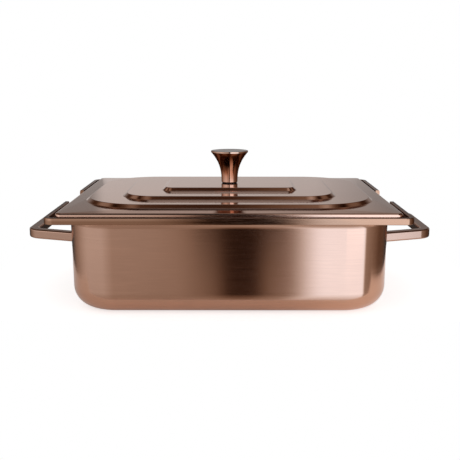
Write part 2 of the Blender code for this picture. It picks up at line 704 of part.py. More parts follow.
def main():
    """Build the whole dish, piece by piece."""
    clear_scene()
    pan_copper = make_material("brushed_copper_coat", COPPER, 0.32, 1.0)
    rail_copper = make_material("rail_copper_coat", COPPER, 0.28, 1.0)
    handle_copper = make_material("handle_copper_coat", COPPER, 0.30, 1.0)
    lid_copper = make_material("polished_copper_coat", COPPER, 0.10, 1.0)
    knob_copper = make_material("turned_copper_coat", DARK_COPPER, 0.16, 1.0)
    food_steel = make_material("food_pan_steel", STEEL, 0.30, 1.0)
    plate_steel = make_material("induction_steel", BASE_STEEL, 0.38, 1.0)
    screw_steel = make_material("screw_steel", STEEL, 0.25, 1.0)
    silicone = make_material("silicone_seal", SILICONE, 0.60, 0.0)
    pan = build_water_pan(pan_copper)
    drill_pan_wall(pan)
    build_base_plate(plate_steel)
    build_rim_rail("rim_rail_front", -1, rail_copper)
    build_rim_rail("rim_rail_rear", 1, rail_copper)
    build_handle("handle_left", -1, handle_copper)
    build_handle("handle_right", 1, handle_copper)
    build_handle_fixings(screw_steel, silicone)
    food_lift = make_empty("food_pan_lift", (0, 0, FLANGE_TOP))
    build_food_pan(food_steel, food_lift)
    lid_lift = make_empty("lid_lift", (0, LID_REAR_SHIFT, LID_BOTTOM - FLANGE_TOP), food_lift)
    build_lid(lid_copper, lid_lift)
    build_knob_assembly(knob_copper, silicone, screw_steel, lid_lift)


main()
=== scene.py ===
"""Dress a rectangular chafing dish: brushed water pan, raised rim, food pan, stepped lid and turned knob.

Units are metres, +Z is up and +X runs to the right-hand handle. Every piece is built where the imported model
has it, with finer rounds and a finish of its own. The guest's side faces -Y, where the camera stands.
"""

from __future__ import annotations

import logging
import math
from dataclasses import dataclass
from enum import Enum
from typing import Any, Callable, Iterable, NamedTuple, Sequence

import bmesh
import bpy
from mathutils import Matrix, Vector


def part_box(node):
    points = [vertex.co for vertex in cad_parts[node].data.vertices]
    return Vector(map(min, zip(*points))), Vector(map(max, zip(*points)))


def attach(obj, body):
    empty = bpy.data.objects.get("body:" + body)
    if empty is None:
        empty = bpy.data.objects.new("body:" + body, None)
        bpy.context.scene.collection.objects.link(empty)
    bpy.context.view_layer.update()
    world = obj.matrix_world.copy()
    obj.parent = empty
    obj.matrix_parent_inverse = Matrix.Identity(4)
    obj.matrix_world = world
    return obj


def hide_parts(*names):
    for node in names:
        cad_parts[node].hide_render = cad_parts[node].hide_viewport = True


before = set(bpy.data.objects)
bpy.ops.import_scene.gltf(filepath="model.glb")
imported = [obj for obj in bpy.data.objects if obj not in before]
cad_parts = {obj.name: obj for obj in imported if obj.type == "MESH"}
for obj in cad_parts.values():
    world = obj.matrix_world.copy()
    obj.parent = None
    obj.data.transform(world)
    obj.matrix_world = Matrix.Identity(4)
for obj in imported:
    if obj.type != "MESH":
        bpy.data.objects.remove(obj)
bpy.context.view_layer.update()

LOG = logging.getLogger("chafing_dish")

Section = list[tuple[float, float]]
Ring = list[Vector]
Colour = tuple[float, float, float]
Spot = tuple[Vector, tuple[float, float, float]]
Piece = bpy.types.Object
Material = bpy.types.Material
Node = bpy.types.Node
Socket = bpy.types.NodeSocket

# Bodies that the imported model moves
BASE_BODY = "dish_base"
TRAY_BODY = "food_tray"
LID_BODY = "lid_set"

# Clearances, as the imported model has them
SEAT_GAP = 0.0003
SCREW_GAP = 0.0003

# Smoothness of rounds
CORNER_STEPS = 24
BEND_STEPS = 14
EDGE_STEPS = 6
TURN_STEPS = 96
FASTENER_STEPS = 48

# The signs of the four quarters, counter-clockwise
QUARTERS = ((1, 1), (-1, 1), (-1, -1), (1, -1))

# How near to a cutting plane a point counts as in it, and how strongly flat faces pull normals
CUT_TOLERANCE = 0.00001
NORMAL_WEIGHT = 100

# The map that brushing follows, and the quarter turn that lays the anisotropy across it
SKIN_MAP = "skin"
ACROSS_THE_SKIN = 0.25

# The part of a noise's range that most of it lies in
NOISE_SPAN = (0.3, 0.7)

# A mix node's counted inputs for the share and what is mixed, and its output, by the kind of mix
MIX_PLACES = {"FLOAT": ((0, 2, 3), 0), "RGBA": ((0, 6, 7), 2)}


def box_of(node: str) -> tuple[Vector, Vector]:
    """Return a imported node's lowest and highest corners.

    Args:
        node: The node's name.

    Returns:
        The two corners as vectors.
    """
    low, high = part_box(node)
    return Vector(low), Vector(high)


def ring(
    half_x: float, half_y: float, corner: float, height: float, centre: tuple[float, float] = (0.0, 0.0)
) -> Ring:
    """Return a rounded rectangle, counter-clockwise seen from above.

    Args:
        half_x: Half its length.
        half_y: Half its width.
        corner: Its corner radius.
        height: Its level.
        centre: Where its middle lies in X and Y.

    Returns:
        Its points, as many for every size.
    """
    points = []
    for quarter, (side_x, side_y) in enumerate(QUARTERS):
        for step in range(CORNER_STEPS + 1):
            angle = (quarter + step / CORNER_STEPS) * math.pi / 2
            x = centre[0] + side_x * (half_x - corner) + corner * math.cos(angle)
            y = centre[1] + side_y * (half_y - corner) + corner * math.sin(angle)
            points.append(Vector((x, y, height)))
    return points


def circle(radius: float, height: float, steps: int = FASTENER_STEPS) -> Ring:
    """Return a circle's points, counter-clockwise seen from above."""
    turn = 2 * math.pi / steps
    return [Vector((radius * math.cos(i * turn), radius * math.sin(i * turn), height)) for i in range(steps)]


def arc(
    centre: tuple[float, float], radius: float, start: float, end: float, steps: int = EDGE_STEPS
) -> Section:
    """Return points along an arc.

    Args:
        centre: Its centre in the section's plane.
        radius: Its radius.
        start: The angle of its first point, in degrees.
        end: The angle of its last point, in degrees.
        steps: How many chords it has.

    Returns:
        Its points in order.
    """
    points = []
    for step in range(steps + 1):
        angle = math.radians(start + (end - start) * step / steps)
        points.append((centre[0] + radius * math.cos(angle), centre[1] + radius * math.sin(angle)))
    return points


def running_length(points: Sequence[Vector]) -> list[float]:
    """Return how far along a row of points each one lies."""
    lengths = [0.0]
    for here, there in zip(points, points[1:]):
        lengths.append(lengths[-1] + (there - here).length)
    return lengths


def new_object(name: str, mesh: bpy.types.Mesh) -> Piece:
    """Link a mesh to the scene as an object at the origin."""
    piece = bpy.data.objects.new(name, mesh)
    bpy.context.collection.objects.link(piece)
    return piece


def loft(name: str, rings: Sequence[Ring], looped: bool = False) -> Piece:
    """Skin rings of equal count into one closed piece with a map of real lengths.

    The map runs round the rings in u and from ring to ring in v, in metres, so that brushing can follow it.

    Args:
        name: The piece's name.
        rings: Rings that run up an outer side and down an inner side.
        looped: Whether the last ring joins the first one, as in a washer. Otherwise both ends are capped.

    Returns:
        The new object.
    """
    count = len(rings[0])
    rows = len(rings)
    vertices = [point for points in rings for point in points]
    widest = max(rings, key=lambda points: points[0].xy.length)
    along = running_length([*widest, widest[0]])
    across = running_length([points[0] for points in rings] + ([rings[0][0]] if looped else []))
    faces: list[tuple[int, ...]] = []
    corners: list[tuple[float, float]] = []
    for row in range(rows if looped else rows - 1):
        upper_row = (row + 1) % rows
        for i in range(count):
            j = (i + 1) % count
            faces.append((row * count + i, row * count + j, upper_row * count + j, upper_row * count + i))
            corners += [(along[i], across[row]), (along[i + 1], across[row])]
            corners += [(along[i + 1], across[row + 1]), (along[i], across[row + 1])]
    if not looped:
        bottom = tuple(reversed(range(count)))
        top = tuple(range((rows - 1) * count, rows * count))
        for cap in (bottom, top):
            faces.append(cap)
            corners += [(vertices[index].x, vertices[index].y) for index in cap]
    mesh = bpy.data.meshes.new(name)
    mesh.from_pydata(vertices, [], faces)
    layer = mesh.uv_layers.new(name=SKIN_MAP)
    layer.data.foreach_set("uv", [value for pair in corners for value in pair])
    return new_object(name, mesh)


def line_object(name: str, points: Sequence[Vector], closed: bool) -> Piece:
    """Return an object that holds a row of points joined by edges."""
    edges = [(i, i + 1) for i in range(len(points) - 1)]
    if closed:
        edges.append((len(points) - 1, 0))
    mesh = bpy.data.meshes.new(name)
    mesh.from_pydata(points, edges, [])
    return new_object(name, mesh)


def dress(piece: Piece, material: Material) -> Piece:
    """Give a piece its only material and return it."""
    piece.data.materials.clear()
    piece.data.materials.append(material)
    return piece


def edit_mesh(mesh: bpy.types.Mesh, change: Callable[[bmesh.types.BMesh], None] | None = None) -> None:
    """Change a mesh, if a change is given, and turn its faces outwards."""
    shape = bmesh.new()
    shape.from_mesh(mesh)
    if change:
        change(shape)
    bmesh.ops.recalc_face_normals(shape, faces=shape.faces)
    shape.to_mesh(mesh)
    shape.free()


def trim_at_x(piece: Piece, x: float, side: int) -> None:
    """Cut a piece off flat at a plane across X and close the cut.

    Args:
        piece: The piece to trim.
        x: Where the plane lies.
        side: 1 keeps what lies beyond the plane, -1 keeps what lies before it.
    """

    def cut(shape: bmesh.types.BMesh) -> None:
        """Cut and close the shape."""
        everything = shape.verts[:] + shape.edges[:] + shape.faces[:]
        plane = {"plane_co": (x, 0, 0), "plane_no": (side, 0, 0)}
        bmesh.ops.bisect_plane(shape, geom=everything, dist=CUT_TOLERANCE, clear_inner=True, **plane)
        bmesh.ops.holes_fill(shape, edges=[edge for edge in shape.edges if edge.is_boundary])

    edit_mesh(piece.data, cut)


def settle(
    piece: Piece, body: str, nodes: Iterable[str], sharp_angle: float = 40.0, weighted: bool = True
) -> None:
    """Shade a finished piece smooth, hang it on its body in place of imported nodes, and log it.

    Args:
        piece: The finished piece.
        body: The body that it rides on.
        nodes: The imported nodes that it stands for.
        sharp_angle: Edges steeper than this many degrees stay crisp.
        weighted: Whether large faces pull the normals of the small ones beside them.
    """
    piece.data.shade_smooth()
    piece.data.set_sharp_from_angle(angle=math.radians(sharp_angle))
    if weighted:
        modifier = piece.modifiers.new("flat faces stay flat", "WEIGHTED_NORMAL")
        modifier.keep_sharp = True
        modifier.weight = NORMAL_WEIGHT
    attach(piece, body)
    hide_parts(*nodes)
    LOG.info("%s rides on %s", piece.name, body)


class Ramp(NamedTuple):
    """A span of a value and what its ends are carried to, eased in and out or straight."""

    low: Any
    high: Any
    to_low: Any = 0.0
    to_high: Any = 1.0
    eased: bool = True


class Graph:
    """Adds nodes to a tree and joins them. A node given as a value stands for its first output."""

    def __init__(self, tree: bpy.types.NodeTree) -> None:
        """Keep the tree that the nodes go into."""
        self.tree = tree

    def node(self, kind: str, settings: dict[str, Any] | None = None, **inputs: Any) -> Node:
        """Add a node.

        Args:
            kind: Blender's name of the node type.
            settings: Attributes of the node to set.
            **inputs: What its inputs take, by name with spaces written as underscores.

        Returns:
            The new node.
        """
        node = self.tree.nodes.new(kind)
        for key, value in (settings or {}).items():
            setattr(node, key, value)
        for key, value in inputs.items():
            self.feed(node, key.replace("_", " "), value)
        return node

    def feed(self, node: Node, name: str | int, value: Any) -> None:
        """Set or join one input of a node, named or counted."""
        socket = node.inputs[name]
        if isinstance(value, Node):
            value = value.outputs[0]
        if isinstance(value, Socket):
            self.tree.links.new(value, socket)
        else:
            socket.default_value = value

    def math(self, operation: str, first: Any, second: Any = 0.0) -> Socket:
        """Return the result of an operation on two values."""
        node = self.node("ShaderNodeMath", {"operation": operation})
        self.feed(node, 0, first)
        self.feed(node, 1, second)
        return node.outputs[0]

    def times(self, product: Any, *factors: Any) -> Any:
        """Return the product of all values."""
        for factor in factors:
            product = self.math("MULTIPLY", product, factor)
        return product

    def ramp(self, value: Any, ramp: Ramp) -> Socket:
        """Return a value carried along a ramp and held at its ends."""
        interpolation = "SMOOTHSTEP" if ramp.eased else "LINEAR"
        node = self.node("ShaderNodeMapRange", {"interpolation_type": interpolation}, Value=value)
        for name, end in zip(("From Min", "From Max", "To Min", "To Max"), ramp):
            self.feed(node, name, end)
        return node.outputs["Result"]

    def fade(self, value: Any, *ramps: Ramp) -> Any:
        """Return the product of what a value's ramps give."""
        return self.times(*(self.ramp(value, ramp) for ramp in ramps))

    def place(self) -> Socket:
        """Return where each point lies in its object."""
        return self.node("ShaderNodeTexCoord").outputs["Object"]

    def noise(self, place: Any, scale: float, detail: float) -> Node:
        """Return a noise over a place."""
        return self.node("ShaderNodeTexNoise", Vector=place, Scale=scale, Detail=detail)

    def spread(self, noise: Any, middle: float, reach: float) -> Socket:
        """Return a noise carried to a middle value, give or take a reach."""
        return self.ramp(noise, Ramp(*NOISE_SPAN, middle - reach, middle + reach, eased=False))

    def blend(self, kind: str, share: Any, first: Any, second: Any) -> Socket:
        """Return a mix that goes from the first to the second as the share goes from 0 to 1."""
        node = self.node("ShaderNodeMix", {"data_type": kind})
        places, result = MIX_PLACES[kind]
        for place, value in zip(places, (share, first, second)):
            self.feed(node, place, value)
        return node.outputs[result]

    def tint(self, shader: Node, colour: Colour, scale: Any) -> None:
        """Give a shader a colour that varies with a scale."""
        tint = self.node("ShaderNodeVectorMath", {"operation": "SCALE"}, Scale=scale)
        self.feed(tint, 0, colour)
        self.feed(shader, "Base Color", tint)

    def emboss(self, shader: Node, height: Any, strength: float, depth: float) -> None:
        """Give a shader a fine relief."""
        bump = self.node("ShaderNodeBump", Strength=strength, Distance=depth, Height=height)
        self.feed(shader, "Normal", bump)


def grey(level: float) -> tuple[float, float, float, float]:
    """Return an opaque grey."""
    return level, level, level, 1.0


def new_material(name: str) -> tuple[Material, Graph, Node]:
    """Return a new node material with its graph and its shader."""
    material = bpy.data.materials.new(name)
    material.use_nodes = True
    return material, Graph(material.node_tree), material.node_tree.nodes["Principled BSDF"]


class Grain(Enum):
    """What the brushing of a metal follows."""

    SKIN = "skin"
    LENGTH = "length"


@dataclass(frozen=True)
class MetalFinish:
    """A coated or plain metal with the fine streaks that brushing or polishing leaves."""

    name: str
    colour: Colour
    roughness: float
    grain: Grain = Grain.SKIN
    anisotropy: float = 0.0
    # Painted shade: a value under 1 darkens the grazing reflections
    shaded_edge_tint: float = 1.0
    streak_length: float = 0.055
    streak_pitch: float = 0.0008
    streak_detail: float = 4.0
    streak_harshness: float = 0.65
    streak_contrast: float = 0.05
    roughness_spread: float = 0.05
    groove_depth: float = 0.000002
    cloud_size: float = 0.045
    cloud_detail: float = 2.0
    cloud_contrast: float = 0.03

    def material(self) -> Material:
        """Return the finish as a node material."""
        material, graph, shader = new_material(self.name)
        graph.feed(shader, "Metallic", 1.0)
        # Painted shade where the edge tint is under 1: darker grazing reflections
        graph.feed(shader, "Specular Tint", grey(self.shaded_edge_tint))
        streaks = self.streaks(graph)
        clouds = graph.noise(graph.place(), 1 / self.cloud_size, self.cloud_detail)
        tone = graph.spread(streaks, 1, self.streak_contrast)
        graph.tint(shader, self.colour, graph.times(tone, graph.spread(clouds, 1, self.cloud_contrast)))
        graph.feed(shader, "Roughness", graph.spread(streaks, self.roughness, self.roughness_spread))
        graph.emboss(shader, streaks, 1.0, self.groove_depth)
        if self.anisotropy > 0:
            graph.feed(shader, "Anisotropic", self.anisotropy)
            graph.feed(shader, "Anisotropic Rotation", ACROSS_THE_SKIN)
            tangent = graph.node("ShaderNodeTangent", {"direction_type": "UV_MAP", "uv_map": SKIN_MAP})
            graph.feed(shader, "Tangent", tangent)
        return material

    def streaks(self, graph: Graph) -> Node:
        """Return a noise that is long along the brushing and fine across it."""
        if self.grain is Grain.SKIN:
            place = graph.node("ShaderNodeUVMap", {"uv_map": SKIN_MAP})
        else:
            place = graph.place()
        fine = 1 / self.streak_pitch
        stretched = graph.node("ShaderNodeMapping", Vector=place, Scale=(1 / self.streak_length, fine, fine))
        streaks = graph.noise(stretched, 1.0, self.streak_detail)
        graph.feed(streaks, "Roughness", self.streak_harshness)
        return streaks


@dataclass(frozen=True)
class SoftFinish:
    """Matt silicone with a faint moulded texture."""

    name: str
    colour: Colour
    roughness: float
    speck_size: float = 0.0004
    speck_detail: float = 1.0
    speck_contrast: float = 0.15
    speck_strength: float = 0.6
    speck_depth: float = 0.00001

    def material(self) -> Material:
        """Return the finish as a node material."""
        material, graph, shader = new_material(self.name)
        specks = graph.noise(graph.place(), 1 / self.speck_size, self.speck_detail)
        graph.tint(shader, self.colour, graph.spread(specks, 1, self.speck_contrast))
        graph.feed(shader, "Roughness", self.roughness)
        graph.emboss(shader, specks, self.speck_strength, self.speck_depth)
        return material


COPPER = (0.62, 0.335, 0.225)
# Painted shade: the rail's copper is a darker copy of the one copper coat
SHADED_RAIL_COPPER = (0.38, 0.185, 0.108)
# Painted shade: the knob's copper is a darker copy of the one copper coat
SHADED_KNOB_COPPER = (0.56, 0.305, 0.200)
# Painted shade: the handles' copper is a darker copy of the one copper coat
SHADED_HANDLE_COPPER = (0.50, 0.270, 0.180)
STEEL = (0.60, 0.59, 0.57)

PAN_FINISH = MetalFinish(
    "brushed_copper_coat", COPPER, 0.12, anisotropy=0.95, streak_contrast=0.06, roughness_spread=0.02,
    groove_depth=0.0000005,
)
# Painted shade: the rail's darker copper and lowered edge tint dim its reflections
RAIL_FINISH = MetalFinish(
    "rail_copper_coat", SHADED_RAIL_COPPER, 0.10, shaded_edge_tint=0.6, streak_contrast=0.04, groove_depth=0.0000005,
)
# Painted shade: the handles' darker copper and lowered edge tint dim their reflections
HANDLE_FINISH = MetalFinish("handle_copper_coat", SHADED_HANDLE_COPPER, 0.14, shaded_edge_tint=0.8, streak_contrast=0.05)
LID_FINISH = MetalFinish(
    "polished_copper_coat", COPPER, 0.10, Grain.LENGTH, streak_contrast=0.03, roughness_spread=0.02,
    groove_depth=0.0000005,
)
# Painted shade: the knob's darker copper and low edge tint dim its reflections
KNOB_FINISH = MetalFinish(
    "turned_copper_coat", SHADED_KNOB_COPPER, 0.09, shaded_edge_tint=0.45, streak_contrast=0.03, roughness_spread=0.02,
)
FOOD_FINISH = MetalFinish("food_pan_steel", STEEL, 0.28, Grain.LENGTH)
PLATE_FINISH = MetalFinish("induction_steel", (0.42, 0.41, 0.40), 0.38, Grain.LENGTH)
SCREW_FINISH = MetalFinish("screw_steel", STEEL, 0.22, streak_length=0.01, streak_pitch=0.0003)
SEAL_FINISH = SoftFinish("silicone_seal", (0.045, 0.030, 0.022), 0.55)


class PieceTree:
    """A Geometry Nodes tree that turns a mesh into a piece of one material."""

    TITLE = ""
    INPUTS: tuple[tuple[str, str], ...] = ()

    def __init__(self) -> None:
        """Build the tree, with its named inputs."""
        self.tree = bpy.data.node_groups.new(self.TITLE, "GeometryNodeTree")
        graph = Graph(self.tree)
        for name, kind in (("Geometry", "Geometry"), *self.INPUTS, ("Material", "Material")):
            self.tree.interface.new_socket(name, in_out="INPUT", socket_type=f"NodeSocket{kind}")
        self.tree.interface.new_socket("Geometry", in_out="OUTPUT", socket_type="NodeSocketGeometry")
        given = graph.node("NodeGroupInput").outputs
        real = graph.node("GeometryNodeRealizeInstances", Geometry=self.shape(graph, given))
        dressed = graph.node("GeometryNodeSetMaterial", Geometry=real, Material=given["Material"])
        graph.node("NodeGroupOutput", Geometry=dressed)

    def shape(self, graph: Graph, given: Any) -> Node:
        """Add the nodes that make the shape from the given inputs, and return the last one."""
        raise NotImplementedError

    def run(self, name: str, carrier: Piece, values: dict[str, Any]) -> Piece:
        """Run the tree on an object and return the result as a plain mesh piece.

        Args:
            name: The new piece's name.
            carrier: The object that the tree starts from. It is removed.
            values: The tree's inputs by name.

        Returns:
            The piece, at the origin, with no modifier.
        """
        modifier = carrier.modifiers.new(self.tree.name, "NODES")
        modifier.node_group = self.tree
        for item in self.tree.interface.items_tree:
            if item.name in values:
                modifier[item.identifier] = values[item.name]
        graph = bpy.context.evaluated_depsgraph_get()
        mesh = bpy.data.meshes.new_from_object(carrier.evaluated_get(graph), depsgraph=graph)
        bpy.data.objects.remove(carrier, do_unlink=True)
        mesh.name = name
        edit_mesh(mesh)
        return new_object(name, mesh)


class SweepTree(PieceTree):
    """Carries a section along a path with rounded bends."""

    TITLE = "bar along a path"
    INPUTS = (("Section", "Object"), ("Bend Radius", "Float"), ("Bend Steps", "Int"))

    def shape(self, graph: Graph, given: Any) -> Node:
        """Round the path's bends, sweep the section and map the skin by its real lengths."""
        path = graph.node("GeometryNodeMeshToCurve", Mesh=given["Geometry"])
        bends = graph.node("GeometryNodeFilletCurve", {"mode": "POLY"}, Curve=path)
        graph.feed(bends, "Radius", given["Bend Radius"])
        graph.feed(bends, "Count", given["Bend Steps"])
        upright = graph.node("GeometryNodeSetCurveNormal", {"mode": "Z_UP"}, Curve=bends)
        drawn = graph.node("GeometryNodeObjectInfo", Object=given["Section"]).outputs["Geometry"]
        section = graph.node("GeometryNodeMeshToCurve", Mesh=drawn)
        bar = graph.node("GeometryNodeCurveToMesh", Fill_Caps=True)
        for name, curve, measured in (("Curve", upright, "along"), ("Profile Curve", section, "round")):
            length = graph.node("GeometryNodeSplineParameter").outputs["Length"]
            graph.feed(bar, name, self.store(graph, curve, measured, length))
        kind = "GeometryNodeInputNamedAttribute"
        along, across = (graph.node(kind, Name=name) for name in ("along", "round"))
        pair = graph.node("ShaderNodeCombineXYZ", X=along, Y=across)
        return self.store(graph, bar, SKIN_MAP, pair, data_type="FLOAT2", domain="CORNER")

    def store(self, graph: Graph, geometry: Node, name: str, value: Any, **settings: str) -> Node:
        """Store a value on a geometry under a name."""
        kind = "GeometryNodeStoreNamedAttribute"
        return graph.node(kind, settings, Geometry=geometry, Name=name, Value=value)

    def build(
        self, name: str, path: Sequence[Vector], section: Section, bend: float, material: Material
    ) -> Piece:
        """Sweep a section along a path.

        Args:
            name: The piece's name.
            path: The path's corner points.
            section: The closed section, to the right of the path and upwards from it.
            bend: The radius of the path's bends.
            material: The piece's material.

        Returns:
            The piece as a plain mesh.
        """
        guide = line_object("section", [Vector((u, -v, 0)) for u, v in section], closed=True)
        carrier = line_object(name, path, closed=False)
        values = {"Section": guide, "Bend Radius": bend, "Bend Steps": BEND_STEPS, "Material": material}
        piece = self.run(name, carrier, values)
        bpy.data.objects.remove(guide, do_unlink=True)
        return piece


class InstanceTree(PieceTree):
    """Puts a fastener on every point of a mesh, turned as the point says."""

    TITLE = "fastener on every point"
    INPUTS = (("Fastener", "Object"),)
    TURN = "turn"

    def shape(self, graph: Graph, given: Any) -> Node:
        """Place the fastener on the mesh's points."""
        points = graph.node("GeometryNodeMeshToPoints", Mesh=given["Geometry"])
        fastener = graph.node("GeometryNodeObjectInfo", Object=given["Fastener"]).outputs["Geometry"]
        turn = graph.node("GeometryNodeInputNamedAttribute", {"data_type": "FLOAT_VECTOR"}, Name=self.TURN)
        return graph.node("GeometryNodeInstanceOnPoints", Points=points, Instance=fastener, Rotation=turn)

    def build(self, name: str, fastener: Piece, spots: Sequence[Spot], material: Material) -> Piece:
        """Place a fastener on every spot.

        Args:
            name: The piece's name.
            fastener: The fastener, which stands on its seat at the origin. It is removed.
            spots: Each place, with its turn about X, Y and Z.
            material: The piece's material.

        Returns:
            All of them as one plain mesh.
        """
        mesh = bpy.data.meshes.new(name)
        mesh.from_pydata([place for place, _ in spots], [], [])
        layer = mesh.attributes.new(self.TURN, "FLOAT_VECTOR", "POINT")
        for item, (_, turn) in zip(layer.data, spots):
            item.vector = turn
        piece = self.run(name, new_object(name, mesh), {"Fastener": fastener, "Material": material})
        bpy.data.objects.remove(fastener, do_unlink=True)
        return piece


@dataclass
class Fixings:
    """Button-head screws, sealing washers and plain washers."""

    screw_radius: float = 0.0020
    tip_length: float = 0.0006
    tip_radius: float = 0.0014
    head_radius: float = 0.0042
    crown_turn: float = math.radians(52)
    crown_end: float = math.radians(89.91)
    socket_across: float = 0.0025
    socket_depth: float = 0.0013
    hard_edge_share: float = 1 / 6

    def socket_ring(self, height: float) -> Ring:
        """Return the hexagon socket's outline with a circle's count of points."""
        sixth = math.pi / 3
        points = []
        for point in circle(1.0, height):
            angle = math.atan2(point.y, point.x) % sixth - sixth / 2
            flat = self.socket_across / 2 / math.cos(angle)
            points.append(Vector((point.x * flat, point.y * flat, height)))
        return points

    def screw(self, name: str, shank: float, head: float) -> Piece:
        """Return a screw with its head's seat at zero and its shank along +Z.

        Args:
            name: The screw's name.
            shank: The shank's length.
            head: The head's height.

        Returns:
            The screw as an object.
        """
        angles = [self.crown_turn * step / EDGE_STEPS for step in range(EDGE_STEPS)] + [self.crown_end]
        crown = [(self.head_radius * math.cos(angle), -head * math.sin(angle)) for angle in angles]
        rings = [self.socket_ring(self.socket_depth - head), self.socket_ring(-head)]
        rings += [circle(radius, height) for radius, height in reversed(crown)]
        rings += [circle(self.screw_radius, 0), circle(self.screw_radius, shank - self.tip_length)]
        rings.append(circle(self.tip_radius, shank))
        return loft(name, rings)

    def washer(self, name: str, outer: float, inner: float, thickness: float, soft: bool) -> Piece:
        """Return a flat washer that lies on zero.

        Args:
            name: The washer's name.
            outer: Its outer radius.
            inner: Its bore's radius.
            thickness: Its thickness.
            soft: Whether its outer edge is rounded, as moulded silicone is.

        Returns:
            The washer as an object.
        """
        edge = thickness / 2 if soft else thickness * self.hard_edge_share
        section = [(inner, 0), *arc((outer - edge, edge), edge, -90, 0)]
        section += [*arc((outer - edge, thickness - edge), edge, 0, 90), (inner, thickness)]
        return loft(name, [circle(radius, height) for radius, height in section], looped=True)


class DrawnPan:
    """A pan drawn from one sheet, bent from floor to wall and from wall to shelf."""

    SHOULDER_STEPS = EDGE_STEPS
    sheet: float
    floor_bend: float
    shoulder_bend: float
    floor_level: float
    shelf_level: float

    def wall_ring(self, inset: float, height: float, wall_height: float) -> Ring:
        """Return a ring parallel to the wall.

        Args:
            inset: How far it lies inside the wall's outer face.
            height: Its level.
            wall_height: The level at which the drafted wall is measured.

        Returns:
            The ring.
        """
        raise NotImplementedError

    def skin(self, inset: float) -> list[Ring]:
        """Return the rings from floor to shelf, for the outer skin or one set in by the sheet."""
        floor = self.floor_level + self.floor_bend
        shoulder = self.shelf_level - self.sheet - self.shoulder_bend
        rings = []
        for u, v in arc((0, 0), self.floor_bend - inset, -90, 0, BEND_STEPS):
            rings.append(self.wall_ring(self.floor_bend - u, floor + v, floor))
        for u, v in arc((0, 0), self.shoulder_bend + inset, 0, 90, self.SHOULDER_STEPS):
            rings.append(self.wall_ring(u - self.shoulder_bend, shoulder + v, shoulder))
        return rings


